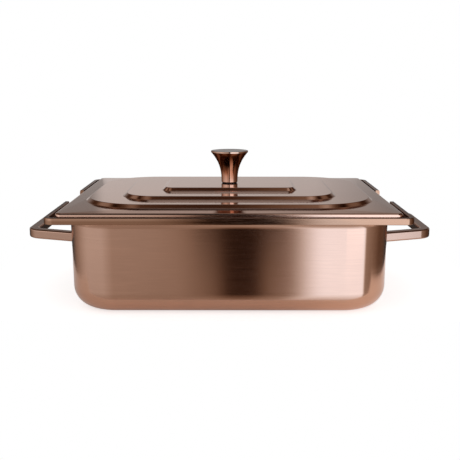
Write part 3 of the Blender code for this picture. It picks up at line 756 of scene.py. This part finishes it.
@dataclass
class WaterPan(DrawnPan):
    """The drawn water pan with its base plate, rim rails, bar handles and their fixings."""

    SHOULDER_STEPS = BEND_STEPS
    sheet: float = 0.0010
    overhang: float = 0.0148
    wall_corner: float = 0.046
    floor_bend: float = 0.021
    shoulder_bend: float = 0.0070
    draft: float = math.radians(0.57)
    rail_thickness: float = 0.0045
    rail_leg: float = 0.0020
    rail_edge: float = 0.0006
    rail_crown: float = 0.0030
    rail_crown_turn: float = 14.0
    rail_foot: float = 0.0006
    rim_corner: float = 0.0100
    plate_corner: float = 0.030
    plate_chamfer: float = 0.0006
    plate_proud: float = 0.0004
    bar_width: float = 0.0105
    bar_edge: float = 0.0018
    bar_bend: float = 0.0145
    bar_root_spread: float = 0.066
    bar_end_spread: float = 0.048
    screw_inset: float = 0.0012
    screw_reach: float = 0.0050
    screw_head: float = 0.0024
    seal_radius: float = 0.0052
    seal_thickness: float = 0.0012

    def __post_init__(self) -> None:
        """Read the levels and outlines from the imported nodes."""
        self.rail_low, self.rail_high = box_of("rim_rail_front")
        self.rim_top = self.rail_high.z
        self.rim_x = self.rail_high.x
        self.rim_y = -self.rail_low.y
        self.notch_y = -self.rail_high.y
        self.floor_level = self.plate_proud
        self.shelf_level = box_of("water_pan")[1].z
        self.plate_high = box_of("induction_plate")[1]
        self.handle_low, self.handle_high = box_of("handle_right")

    def wall_ring(self, inset: float, height: float, wall_height: float) -> Ring:
        """Return a ring parallel to the wall, which leans in from the rim's overhang."""
        narrow = self.overhang + (self.rim_top - wall_height) * math.tan(self.draft) + inset
        return ring(self.rim_x - narrow, self.rim_y - narrow, self.wall_corner - inset, height)

    def build_pan(self) -> None:
        """Draw the pan: recessed floor, filleted walls and shelf."""
        inset = self.rail_leg + SEAT_GAP
        edge = (self.rim_x - inset, self.rim_y - inset, self.rim_corner - inset)
        recess = [size + SEAT_GAP for size in (self.plate_high.x, self.plate_high.y, self.plate_corner)]
        recess_top = self.plate_high.z + SEAT_GAP
        bump = [size + self.sheet for size in recess]
        rings = [ring(*recess, recess_top), ring(*recess, self.plate_proud)]
        rings += self.skin(0)
        rings += [ring(*edge, self.shelf_level - self.sheet), ring(*edge, self.shelf_level)]
        rings += reversed(self.skin(self.sheet))
        rings += [ring(*bump, self.plate_proud + self.sheet), ring(*bump, recess_top + self.sheet)]
        pan = dress(loft("water_pan_skin", rings), PAN_FINISH.material())
        settle(pan, BASE_BODY, ["water_pan"])

    def build_plate(self) -> None:
        """Make the base plate with its chamfered underside."""
        chamfer = self.plate_chamfer
        half_x = self.plate_high.x
        half_y = self.plate_high.y
        corner = self.plate_corner
        rings = [
            ring(half_x - chamfer, half_y - chamfer, corner - chamfer, 0),
            ring(half_x, half_y, corner, chamfer),
            ring(half_x, half_y, corner, self.plate_high.z),
        ]
        plate = dress(loft("base_plate", rings), PLATE_FINISH.material())
        settle(plate, BASE_BODY, ["induction_plate"])

    def rail_section(self) -> Section:
        """Return the rail's section as insets from its outer face and heights above its foot."""
        edge = self.rail_edge
        foot = self.rail_foot
        height = self.rail_high.z - self.rail_low.z
        thickness = self.rail_thickness
        rebate = self.shelf_level + SEAT_GAP - self.rail_low.z
        points = arc((foot, foot), foot, 270, 180)
        turn = math.radians(self.rail_crown_turn)
        upright = 180 - self.rail_crown_turn
        bow = self.rail_crown / math.sin(turn)
        crown_foot = height - edge * (1 - math.sin(turn)) - self.rail_crown
        points += arc((bow, crown_foot), bow, 180, upright)
        points += arc((bow * (1 - math.cos(turn)) + edge * math.cos(turn), height - edge), edge, upright, 90)
        points += arc((thickness - edge, height - edge), edge, 90, 0)
        points += [(thickness, rebate), (self.rail_leg, rebate), (self.rail_leg, 0)]
        return points

    def build_rails(self, sweeper: SweepTree) -> None:
        """Bend the front and the rear rail round their corners, from notch to notch."""
        material = RAIL_FINISH.material()
        foot = self.rail_low.z
        outline = [(1, self.notch_y), (1, self.rim_y), (-1, self.rim_y), (-1, self.notch_y)]
        for side, name in ((-1, "front"), (1, "rear")):
            path = [Vector((-side * end * self.rim_x, side * y, foot)) for end, y in outline]
            rail = sweeper.build(f"{name}_rail", path, self.rail_section(), self.rim_corner, material)
            settle(rail, BASE_BODY, [f"rim_rail_{name}"])

    def bar_section(self) -> Section:
        """Return the handle bar's rounded section about its centre line."""
        edge = self.bar_edge
        half_u = self.bar_width / 2 - edge
        half_v = (self.handle_high.z - self.handle_low.z) / 2 - edge
        points: Section = []
        for quarter, (side_u, side_v) in enumerate(QUARTERS):
            points += arc((side_u * half_u, side_v * half_v), edge, quarter * 90, quarter * 90 + 90)
        return points

    def build_handles(self, sweeper: SweepTree) -> None:
        """Bend both handle bars and trim their roots flat against the wall."""
        material = HANDLE_FINISH.material()
        root_x = self.handle_low.x
        reach_x = self.handle_high.x - self.bar_width / 2
        middle = (self.handle_high.z + self.handle_low.z) / 2
        slope = (self.bar_root_spread - self.bar_end_spread) / (reach_x - root_x)
        overlap = self.bar_width / 2
        start = (root_x - overlap, self.bar_root_spread + overlap * slope)
        half = [start, (reach_x, self.bar_end_spread)]
        outline = half + [(x, -y) for x, y in reversed(half)]
        for side, name in ((-1, "left"), (1, "right")):
            path = [Vector((side * x, side * y, middle)) for x, y in outline]
            bar = sweeper.build(f"{name}_handle_bar", path, self.bar_section(), self.bar_bend, material)
            trim_at_x(bar, side * root_x, side)
            settle(bar, BASE_BODY, [f"handle_{name}"])

    def build_fixings(self, placer: InstanceTree, fixings: Fixings) -> None:
        """Place the handle screws and their seals inside the end walls."""
        seal_seat = self.sheet + SEAT_GAP + self.seal_thickness
        head_seat = seal_seat + SEAT_GAP
        middle = (self.handle_high.z + self.handle_low.z) / 2
        face = self.rim_x - self.overhang - (self.rim_top - middle) * math.tan(self.draft)
        across = self.bar_root_spread - self.screw_inset
        ends = [(side, end) for side in (-1, 1) for end in (-1, 1)]
        names = [f"{s}_{e}" for s in ("left", "right") for e in ("front", "rear")]
        screw = fixings.screw("screw", head_seat + self.screw_reach, self.screw_head)
        bore = fixings.screw_radius + SCREW_GAP
        seal = fixings.washer("seal", self.seal_radius, bore, self.seal_thickness, soft=True)
        kinds = (
            ("handle_screws", screw, head_seat, SCREW_FINISH, "handle_screw", "screw_steel"),
            ("handle_seals", seal, seal_seat, SEAL_FINISH, "handle_seal", "silicone"),
        )
        for name, fastener, seat, finish, node, slot in kinds:
            spots = []
            for side, end in ends:
                place = Vector((side * (face - seat), end * across, middle))
                spots.append((place, (0.0, side * math.pi / 2, 0.0)))
            piece = placer.build(name, fastener, spots, finish.material())
            settle(piece, BASE_BODY, [f"{node}_{place}" for place in names], weighted=False)


@dataclass
class FoodPan(DrawnPan):
    """The half-size gastronorm pan that hangs in the water pan."""

    sheet: float = 0.0009
    flange: float = 0.0110
    flange_corner: float = 0.009
    body_corner: float = 0.040
    edge_drop: float = 0.0029
    edge_round: float = 0.0009
    draft: float = math.radians(4.0)
    floor_bend: float = 0.014
    shoulder_bend: float = 0.0030

    def __post_init__(self) -> None:
        """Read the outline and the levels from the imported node."""
        low, self.high = box_of("food_pan")
        self.floor_level = low.z
        self.shelf_level = self.high.z
        self.wall_top = self.shelf_level - self.sheet - self.shoulder_bend

    def wall_ring(self, inset: float, height: float, wall_height: float) -> Ring:
        """Return a ring parallel to the wall, which leans in from the flange."""
        narrow = (self.wall_top - wall_height) * math.tan(self.draft) + inset
        outset = self.flange + narrow
        return ring(self.high.x - outset, self.high.y - outset, self.body_corner - narrow, height)

    def build(self) -> None:
        """Draw the pan with its turned-down edge."""
        top = self.high.z
        rings = self.skin(0)
        inner = self.sheet
        for u, v in ((inner, -self.sheet), (inner, -self.edge_drop), (0, -self.edge_drop)):
            rings.append(self.edge_ring(u, top + v))
        for u, v in arc((self.edge_round, -self.edge_round), self.edge_round, 180, 90):
            rings.append(self.edge_ring(u, top + v))
        rings += reversed(self.skin(self.sheet))
        pan = dress(loft("food_pan_skin", rings), FOOD_FINISH.material())
        settle(pan, TRAY_BODY, ["food_pan"])

    def edge_ring(self, inset: float, height: float) -> Ring:
        """Return a ring at the flange's edge."""
        return ring(self.high.x - inset, self.high.y - inset, self.flange_corner - inset, height)


@dataclass
class Lid:
    """The pressed lid with three steps, a hemmed edge and the knob's hole."""

    sheet: float = 0.0010
    corner: float = 0.0065
    edge_bend: float = 0.0022
    edge_height: float = 0.0040
    edge_lean: float = 8.0
    hem: float = 0.0050
    margin_rise: float = 0.0012
    step_bend: float = 0.0016
    riser_slope: float = math.radians(42.0)
    hole: float = 0.0023
    steps: tuple[tuple[float, float, float], ...] = (
        (0.2888, 0.2180, 0.060),
        (0.2138, 0.1568, 0.031),
        (0.1366, 0.0820, 0.009),
    )

    def __post_init__(self) -> None:
        """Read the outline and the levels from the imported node."""
        self.low, self.high = box_of("lid")
        self.centre = ((self.low.x + self.high.x) / 2, (self.low.y + self.high.y) / 2)
        self.half_x = (self.high.x - self.low.x) / 2
        self.half_y = (self.high.y - self.low.y) / 2
        self.margin = self.low.z + self.edge_height
        self.step_height = (self.high.z - self.margin - self.margin_rise) / len(self.steps)

    def at(self, inset: float, height: float) -> Ring:
        """Return a ring set in from the lid's edge."""
        return ring(self.half_x - inset, self.half_y - inset, self.corner - inset, height, self.centre)

    def step_rings(self, level: int, skin: float) -> list[Ring]:
        """Return one pressed step from its foot to its shoulder.

        Args:
            level: 0 for the lowest step.
            skin: How far the ring lies under the polished face.

        Returns:
            The step's rings, outermost first.
        """
        length, width, corner = self.steps[level]
        foot = self.margin + self.margin_rise + level * self.step_height
        top = foot + self.step_height
        bend = self.step_bend
        slope = self.riser_slope
        straight = self.step_height - 2 * bend * (1 - math.cos(slope))
        reach = bend * math.sin(slope) + straight / math.tan(slope) / 2
        turn = math.degrees(slope)
        outline = arc((reach, foot + bend), bend + skin, 270, 270 - turn)
        outline += arc((-reach, top - bend), bend - skin, 90 - turn, 90)
        return [ring(length / 2 + u, width / 2 + u, corner + u, v, self.centre) for u, v in outline]

    def hole_ring(self, height: float) -> Ring:
        """Return the knob hole's edge with as many points as the other rings."""
        return ring(self.hole, self.hole, self.hole, height, self.centre)

    def build(self) -> None:
        """Press the lid as one sheet, from the hole's underside round the hem and back over the top."""
        sheet = self.sheet
        edge = self.edge_bend
        lean = math.radians(self.edge_lean)
        upright = 180 - self.edge_lean
        half = sheet / 2
        level_part = self.margin - edge
        lean_height = level_part + edge * math.sin(lean) - self.low.z - half
        top_centre = (edge * math.cos(lean) + lean_height * math.tan(lean), level_part)
        levels = range(len(self.steps))
        rings = [self.hole_ring(self.high.z - sheet)]
        for level in reversed(levels):
            rings += reversed(self.step_rings(level, sheet))
        rings += [self.at(u, v) for u, v in arc(top_centre, edge - sheet, 90, upright)]
        rings.append(self.at(sheet / math.cos(lean) + half * math.tan(lean), self.low.z + sheet))
        rings.append(self.at(self.hem, self.low.z + sheet))
        rings.append(self.at(self.hem, self.low.z))
        rings += [self.at(u, v) for u, v in arc((half, self.low.z + half), half, 270, 180)]
        rings += [self.at(u, v) for u, v in arc(top_centre, edge, upright, 90)]
        for level in levels:
            rings += self.step_rings(level, 0)
        rings.append(self.hole_ring(self.high.z))
        lid = dress(loft("lid_pressing", rings, looped=True), LID_FINISH.material())
        settle(lid, LID_BODY, ["lid"])


@dataclass
class Knob:
    """The turned trumpet knob with its seal, washers and screw."""

    neck: float = 0.00875
    rim: float = 0.0016
    rim_bevel: float = 0.0004
    dish: float = 0.0001
    dish_inset: float = 0.0012
    dish_steps: int = 12
    flare_power: float = 2.52
    foot_bevel: float = 0.0004
    bore: float = 0.0023
    bore_depth: float = 0.0140
    flare_steps: int = 40
    split: float = math.radians(14.0)
    split_rise: float = 0.0002

    def __post_init__(self) -> None:
        """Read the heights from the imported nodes."""
        self.low, self.high = box_of("knob")
        self.axis = ((self.low.x + self.high.x) / 2, (self.low.y + self.high.y) / 2)
        self.top_radius = (self.high.x - self.low.x) / 2

    def stand(self, piece: Piece, height: float) -> Piece:
        """Put a turned piece on the knob's axis, with its zero at a level."""
        piece.data.transform(Matrix.Translation((*self.axis, height)))
        return piece

    def outline(self) -> Section:
        """Return the knob's radius and height, from the bore's end round the flare to the dished top."""
        height = self.high.z - self.low.z
        flare_top = height - self.rim
        points = [(self.bore, self.bore_depth), (self.bore, 0.0), (self.neck - self.foot_bevel, 0.0)]
        for step in range(self.flare_steps + 1):
            share = step / self.flare_steps
            radius = self.neck + (self.top_radius - self.neck) * share ** self.flare_power
            points.append((radius, self.foot_bevel + (flare_top - self.foot_bevel) * share))
        bevel = self.rim_bevel
        points += arc((self.top_radius - bevel, height - bevel), bevel, 0, 90)
        dished = self.top_radius - self.dish_inset
        for step in range(self.dish_steps):
            share = 1 - step / self.dish_steps
            points.append((dished * share, height - self.dish * (1 - share ** 2)))
        return points

    def build(self, fixings: Fixings) -> None:
        """Turn the knob and stack what holds it."""
        rings = [circle(radius, height, TURN_STEPS) for radius, height in self.outline()]
        knob = self.stand(dress(loft("knob_turning", rings), KNOB_FINISH.material()), self.low.z)
        settle(knob, LID_BODY, ["knob"], sharp_angle=30, weighted=False)
        for node, finish, slot, soft in (
            ("knob_seal", SEAL_FINISH, "silicone", True),
            ("knob_washer", SCREW_FINISH, "screw_steel", False),
        ):
            low, high = box_of(node)
            radius = (high.x - low.x) / 2
            washer = fixings.washer(f"{node}_ring", radius, self.bore, high.z - low.z, soft)
            washer = self.stand(dress(washer, finish.material()), low.z)
            settle(washer, LID_BODY, [node], weighted=False)
        self.build_screw(fixings)
        self.build_lock_washer()

    def build_screw(self, fixings: Fixings) -> None:
        """Place the screw that holds the knob from under the lid."""
        low, high = box_of("knob_screw")
        seat = box_of("knob_lock_washer")[0].z - SEAT_GAP
        screw = fixings.screw("knob_fixing_screw", high.z - seat, seat - low.z)
        screw = self.stand(dress(screw, SCREW_FINISH.material()), seat)
        settle(screw, LID_BODY, ["knob_screw"], weighted=False)

    def build_lock_washer(self) -> None:
        """Bend the split spring washer."""
        low, high = box_of("knob_lock_washer")
        outer = (high.x - low.x) / 2
        thickness = high.z - low.z - self.split_rise
        rings = []
        for step in range(FASTENER_STEPS + 1):
            share = step / FASTENER_STEPS
            angle = self.split / 2 + share * (2 * math.pi - self.split)
            foot = self.split_rise * share
            top = foot + thickness
            section = ((self.bore, foot), (outer, foot), (outer, top), (self.bore, top))
            rings.append([Vector((u * math.cos(angle), u * math.sin(angle), v)) for u, v in section])
        washer = loft("knob_spring_washer", rings)
        edit_mesh(washer.data)
        washer = self.stand(dress(washer, SCREW_FINISH.material()), low.z)
        settle(washer, LID_BODY, ["knob_lock_washer"], weighted=False)


class Surroundings(Graph):
    """What the metal mirrors, as nodes of the world that give a brightness for each direction.

    Azimuth runs from the front towards the right and elevation upwards, both in degrees, and x, y and z are
    parts of the unit direction. A soft box stands at the front right, a pale wall at the left, a dark gap
    where the camera is, a backdrop behind and a dim ceiling above, with a cool panel in it.
    """

    # The soft box, whose far edge comes nearer and whose far part is shaded high up
    BOX_STRENGTH = 1.5
    BOX_NEAR_EDGE = Ramp(4.2, 7.0)
    BOX_FAR_EDGE = Ramp(14, 26, 54, 40, eased=False)
    BOX_FADE = 8.0
    BOX_SHADE_ASIDE = Ramp(20, 32, 0.0, 0.45)
    BOX_SHADE_UP = Ramp(4, 14)
    BOX_GLOW_ABOVE = Ramp(38, 80, BOX_STRENGTH, 0.0, eased=False)

    # The wall at the left, and the gap in it by how far the azimuth lies from the gap's
    WALL_LEFT = Ramp(-135, -70, 0.25, 0.69)
    WALL_RIGHT = Ramp(-35, -5, 1.0, 0.69, eased=False)
    WALL_END = Ramp(4, 8, 1.0, 0.0)
    WALL_FOOT = Ramp(-18, -15, 0.8, 1.0)
    WALL_RISE = Ramp(-9, 8, 1.0, 1.5, eased=False)
    WALL_TOP = Ramp(14, 26)
    WALL_TOP_LEVEL = Ramp(-30, -16, 0.35, 1.0)
    GAP_AZIMUTH = 0.65
    GAP_WIDENING = Ramp(-14.5, -10.5, 0.0, 2.2)
    GAP_EDGE = Ramp(0.9, 2.1, 0.03, 0.60)
    GAP_FRINGE = Ramp(1.8, 4.8, 0.0, 0.40, eased=False)

    # The side beyond the box, and what lies low in front
    SIDE_START = Ramp(54, 62)
    SIDE_LEVEL = Ramp(62, 105, 0.42, 0.14, eased=False)
    LOW_START = Ramp(-55, -16, 1.0, 0.0, eased=False)
    LOW_LEVEL = Ramp(0, 12, 0.42, 0.62)

    # The backdrop, by azimuth from the rear
    BACK_START = Ramp(0.45, 0.85)
    BACK_LEVEL = 0.61
    BACK_LEFT = Ramp(-10.8, -9.5)
    BACK_LEFT_LEVEL = Ramp(0.05, 0.11, 0.54, 0.27)
    BACK_MIDDLE = Ramp(-9.5, 6.0, 1.0, 0.90, eased=False)
    BACK_RIGHT = Ramp(6, 12, eased=False)
    BACK_RIGHT_LEVEL = Ramp(0.05, 0.11, 0.75, 0.52)
    BACK_FOOT = Ramp(-0.14, -0.02, 0.12, 1.0)

    # The ceiling and the cool panel in it, and between which elevations the ceiling starts
    CEILING_START = Ramp(-0.10, 0.30, 24, 11, eased=False)
    CEILING_FULL = Ramp(-0.10, 0.30, 48, 27, eased=False)
    CEILING_LEFT = Ramp(-0.36, -0.05, 0.36, 0.055)
    CEILING_RIGHT = Ramp(0.0, 0.27, 0.0, 0.50, eased=False)
    CEILING_RIGHT_END = Ramp(0.33, 0.50, 1.0, 0.35)
    CEILING_FRONT = Ramp(-0.24, -0.11, 0.12, 1.0)
    CEILING_MIDDLE = Ramp(0.08, 0.18)
    CEILING_MIDDLE_LEVEL = Ramp(0.76, 0.84, 1.0, 0.15)
    CEILING_BACK = Ramp(0.42, 0.60, 1.0, 0.2)
    CEILING_CORNER = Ramp(-0.36, -0.27, 0.12, 1.0)
    CORNER_SLOPE = 0.97
    REAR_LEVEL = Ramp(0.42, 0.60, 0.0, 0.14)
    REAR_SIDES = Ramp(0.22, 0.36, 1.0, 0.0)
    PANEL_BACK = Ramp(0.10, 0.22)
    PANEL_UP = Ramp(0.91, 0.945)
    PANEL_COLOUR = (0.42, 0.62, 0.80, 1.0)

    # How the greys are tinted
    NEUTRAL_LEVEL = 0.47
    BRIGHTEST_SHARE = 3.3
    GREEN_POWER = 0.29
    BLUE_POWER = 0.55

    def __init__(self, tree: bpy.types.NodeTree) -> None:
        """Measure the direction."""
        super().__init__(tree)
        direction = self.node("ShaderNodeTexCoord").outputs["Generated"]
        self.x, self.y, self.z = self.node("ShaderNodeSeparateXYZ", Vector=direction).outputs
        self.aside = self.math("ABSOLUTE", self.x)
        self.azimuth = self.math("DEGREES", self.math("ARCTAN2", self.x, self.times(self.y, -1)))
        self.elevation = self.math("DEGREES", self.math("ARCSINE", self.z))

    def colour(self) -> Socket:
        """Return the colour of the surroundings in each direction."""
        box = self.box()
        behind = self.ramp(self.y, self.BACK_START)
        around = self.blend("RGBA", behind, self.tinted(self.front(box)), self.backdrop())
        glow = self.times(box, self.ramp(self.elevation, self.BOX_GLOW_ABOVE))
        above = self.tinted(self.math("ADD", self.ceiling(), glow))
        panel = self.times(self.ramp(self.y, self.PANEL_BACK), self.ramp(self.z, self.PANEL_UP))
        above = self.blend("RGBA", panel, above, self.PANEL_COLOUR)
        start, full = (self.ramp(self.y, edge) for edge in (self.CEILING_START, self.CEILING_FULL))
        return self.blend("RGBA", self.ramp(self.elevation, Ramp(start, full)), around, above)

    def box(self) -> Socket:
        """Return where the soft box is."""
        end = self.ramp(self.elevation, self.BOX_FAR_EDGE)
        far_edge = Ramp(end, self.math("ADD", end, self.BOX_FADE), 1.0, 0.0)
        return self.fade(self.azimuth, self.BOX_NEAR_EDGE, far_edge)

    def wall(self) -> Socket:
        """Return how bright the wall at the left is, with the gap that the camera leaves in it."""
        aside = self.math("ABSOLUTE", self.math("SUBTRACT", self.azimuth, self.GAP_AZIMUTH))
        aside = self.math("SUBTRACT", aside, self.ramp(self.elevation, self.GAP_WIDENING))
        gap = self.math("ADD", self.ramp(aside, self.GAP_EDGE), self.ramp(aside, self.GAP_FRINGE))
        sides = self.fade(self.azimuth, self.WALL_LEFT, self.WALL_RIGHT, self.WALL_END)
        high = self.ramp(self.azimuth, self.WALL_TOP_LEVEL)
        top = self.blend("FLOAT", self.ramp(self.elevation, self.WALL_TOP), 1.0, high)
        return self.times(gap, sides, self.fade(self.elevation, self.WALL_FOOT, self.WALL_RISE), top)

    def front(self, box: Any) -> Socket:
        """Return how bright it is in front: the box, the side beyond it, the wall and what lies low."""
        shade = self.ramp(self.azimuth, self.BOX_SHADE_ASIDE)
        shade = self.times(shade, self.ramp(self.elevation, self.BOX_SHADE_UP))
        lit = self.times(box, self.math("SUBTRACT", self.BOX_STRENGTH, shade))
        side = self.fade(self.azimuth, self.SIDE_START, self.SIDE_LEVEL)
        level = self.math("ADD", self.math("ADD", lit, side), self.wall())
        low = self.ramp(self.azimuth, self.LOW_LEVEL)
        return self.blend("FLOAT", self.ramp(self.elevation, self.LOW_START), level, low)

    def backdrop(self) -> Socket:
        """Return how bright the backdrop behind the dish is, which falls off to both sides."""
        azimuth = self.math("DEGREES", self.math("ARCTAN2", self.x, self.y))
        left, right = (self.ramp(self.z, level) for level in (self.BACK_LEFT_LEVEL, self.BACK_RIGHT_LEVEL))
        left = self.blend("FLOAT", self.ramp(azimuth, self.BACK_LEFT), left, self.BACK_LEVEL)
        right = self.blend("FLOAT", self.ramp(azimuth, self.BACK_RIGHT), 1.0, right)
        middle = self.ramp(azimuth, self.BACK_MIDDLE)
        return self.times(left, middle, right, self.ramp(self.z, self.BACK_FOOT))

    def ceiling(self) -> Socket:
        """Return how bright the ceiling is: dark above and in front of the dish, paler to the sides."""
        right = self.fade(self.x, self.CEILING_RIGHT, self.CEILING_RIGHT_END)
        sides = self.math("ADD", self.ramp(self.x, self.CEILING_LEFT), right)
        high = self.ramp(self.z, self.CEILING_MIDDLE_LEVEL)
        middle = self.blend("FLOAT", self.ramp(self.y, self.CEILING_MIDDLE), 1.0, high)
        ends = self.fade(self.y, self.CEILING_FRONT, self.CEILING_BACK)
        reach = self.math("SUBTRACT", self.y, self.times(self.aside, self.CORNER_SLOPE))
        over = self.times(sides, middle, ends, self.ramp(reach, self.CEILING_CORNER))
        rear = self.times(self.ramp(self.y, self.REAR_LEVEL), self.ramp(self.aside, self.REAR_SIDES))
        return self.math("ADD", over, rear)

    def tinted(self, brightness: Any) -> Node:
        """Return a grey made browner where it is dark and cooler where it is bright."""
        share = self.math("DIVIDE", brightness, self.NEUTRAL_LEVEL)
        share = self.math("MINIMUM", share, self.BRIGHTEST_SHARE)
        green = self.times(brightness, self.math("POWER", share, self.GREEN_POWER))
        blue = self.times(brightness, self.math("POWER", share, self.BLUE_POWER))
        return self.node("ShaderNodeCombineColor", Red=brightness, Green=green, Blue=blue)


@dataclass
class Studio:
    """The pale floor, the soft lamps, the surroundings and the camera."""

    focal_pixels: float = 773.2
    image_pixels: float = 460.0
    sensor: float = 36.0
    camera_x: float = 0.00374
    camera_y: float = -0.8340
    camera_above_rim: float = 0.12495
    tilt: float = 11.07
    pan: float = 0.222
    clip_start: float = 0.01
    floor_side: float = 0.27
    floor_front: float = 0.140
    floor_back: float = 0.19
    floor_grey: float = 0.80
    floor_roughness: float = 0.9
    floor_glow: float = 0.67
    # Painted light: the floor's glow where metal mirrors it, weaker at the left and stronger at the right
    floor_mirrored_glow: Ramp = Ramp(0.03, 0.14, 0.17, 0.42)
    fill: float = 0.60
    lamp_aim: tuple[float, float, float] = (0.0, 0.0, 0.06)

    def build(self, rim_top: float) -> None:
        """Set up everything round the dish.

        Args:
            rim_top: The level of the rim, from which the camera's height is measured.
        """
        self.build_camera(rim_top)
        self.build_floor()
        self.build_world()
        self.lamp("right_panel", (0.74, -1.20, 0.30), width=1.05, height=1.1, power=1.2)
        self.lamp("left_panel", (-1.20, -1.00, 0.45), width=0.7, height=0.9, power=0.5)
        bpy.context.scene.view_settings.view_transform = "Standard"

    def build_camera(self, rim_top: float) -> None:
        """Place the camera where the photograph was taken from."""
        camera = bpy.data.cameras.new("camera")
        camera.sensor_width = self.sensor
        camera.lens = self.focal_pixels / self.image_pixels * self.sensor
        camera.clip_start = self.clip_start
        stand = bpy.data.objects.new("camera", camera)
        bpy.context.collection.objects.link(stand)
        stand.location = (self.camera_x, self.camera_y, rim_top + self.camera_above_rim)
        stand.rotation_euler = (math.radians(90 - self.tilt), 0, math.radians(self.pan))
        bpy.context.scene.camera = stand

    def build_floor(self) -> None:
        """Lay the pale floor, which keeps a faint shadow and, in reflections, glows with painted light that
        grows towards the right.
        """
        mesh = bpy.data.meshes.new("studio_floor")
        right = self.floor_side
        near = -self.floor_front
        far = self.floor_back
        corners = [(-right, near, 0), (right, near, 0), (right, far, 0), (-right, far, 0)]
        mesh.from_pydata(corners, [], [(0, 1, 2, 3)])
        floor = new_object("studio_floor", mesh)
        material, graph, shader = new_material("pale_floor")
        graph.feed(shader, "Base Color", grey(self.floor_grey))
        graph.feed(shader, "Roughness", self.floor_roughness)
        graph.feed(shader, "Specular IOR Level", 0.0)
        graph.feed(shader, "Emission Color", grey(1.0))
        rays = graph.node("ShaderNodeLightPath").outputs
        seen = graph.math("MAXIMUM", rays["Is Camera Ray"], rays["Is Transmission Ray"])
        to_the_right = graph.node("ShaderNodeSeparateXYZ", Vector=graph.place()).outputs["X"]
        # Painted light: the floor glows in reflections, more towards the right
        mirrored = graph.times(rays["Is Glossy Ray"], graph.ramp(to_the_right, self.floor_mirrored_glow))
        glow = graph.math("MAXIMUM", graph.times(seen, self.floor_glow), mirrored)
        graph.feed(shader, "Emission Strength", glow)
        mesh.materials.append(material)

    def build_world(self) -> None:
        """Surround the dish with a white backdrop and with what its metal mirrors."""
        world = bpy.data.worlds.new("studio")
        bpy.context.scene.world = world
        world.use_nodes = True
        world.node_tree.nodes.clear()
        graph = Surroundings(world.node_tree)
        rays = graph.node("ShaderNodeLightPath").outputs
        lit = graph.blend("RGBA", rays["Is Glossy Ray"], grey(self.fill), graph.colour())
        seen = graph.blend("RGBA", rays["Is Camera Ray"], lit, grey(1.0))
        background = graph.node("ShaderNodeBackground", Color=seen, Strength=1.0)
        graph.node("ShaderNodeOutputWorld", Surface=background)

    def lamp(self, name: str, place: Sequence[float], width: float, height: float, power: float) -> None:
        """Hang one soft rectangular lamp that points at the dish.

        Args:
            name: The lamp's name.
            place: Where it hangs.
            width: Its width.
            height: Its height.
            power: Its power in watts.
        """
        light = bpy.data.lights.new(name, "AREA")
        light.shape = "RECTANGLE"
        light.size = width
        light.size_y = height
        light.energy = power
        holder = bpy.data.objects.new(name, light)
        bpy.context.collection.objects.link(holder)
        holder.location = place
        holder.rotation_euler = (Vector(self.lamp_aim) - Vector(place)).to_track_quat("-Z", "Y").to_euler()


def main() -> None:
    """Build every sub-assembly in order."""
    logging.basicConfig(level=logging.INFO, format="%(name)s: %(message)s")
    sweeper = SweepTree()
    placer = InstanceTree()
    fixings = Fixings()
    water_pan = WaterPan()
    Studio().build(water_pan.rim_top)
    water_pan.build_pan()
    water_pan.build_plate()
    water_pan.build_rails(sweeper)
    water_pan.build_handles(sweeper)
    water_pan.build_fixings(placer, fixings)
    FoodPan().build()
    Lid().build()
    Knob().build(fixings)


if __name__ == "__main__":
    main()
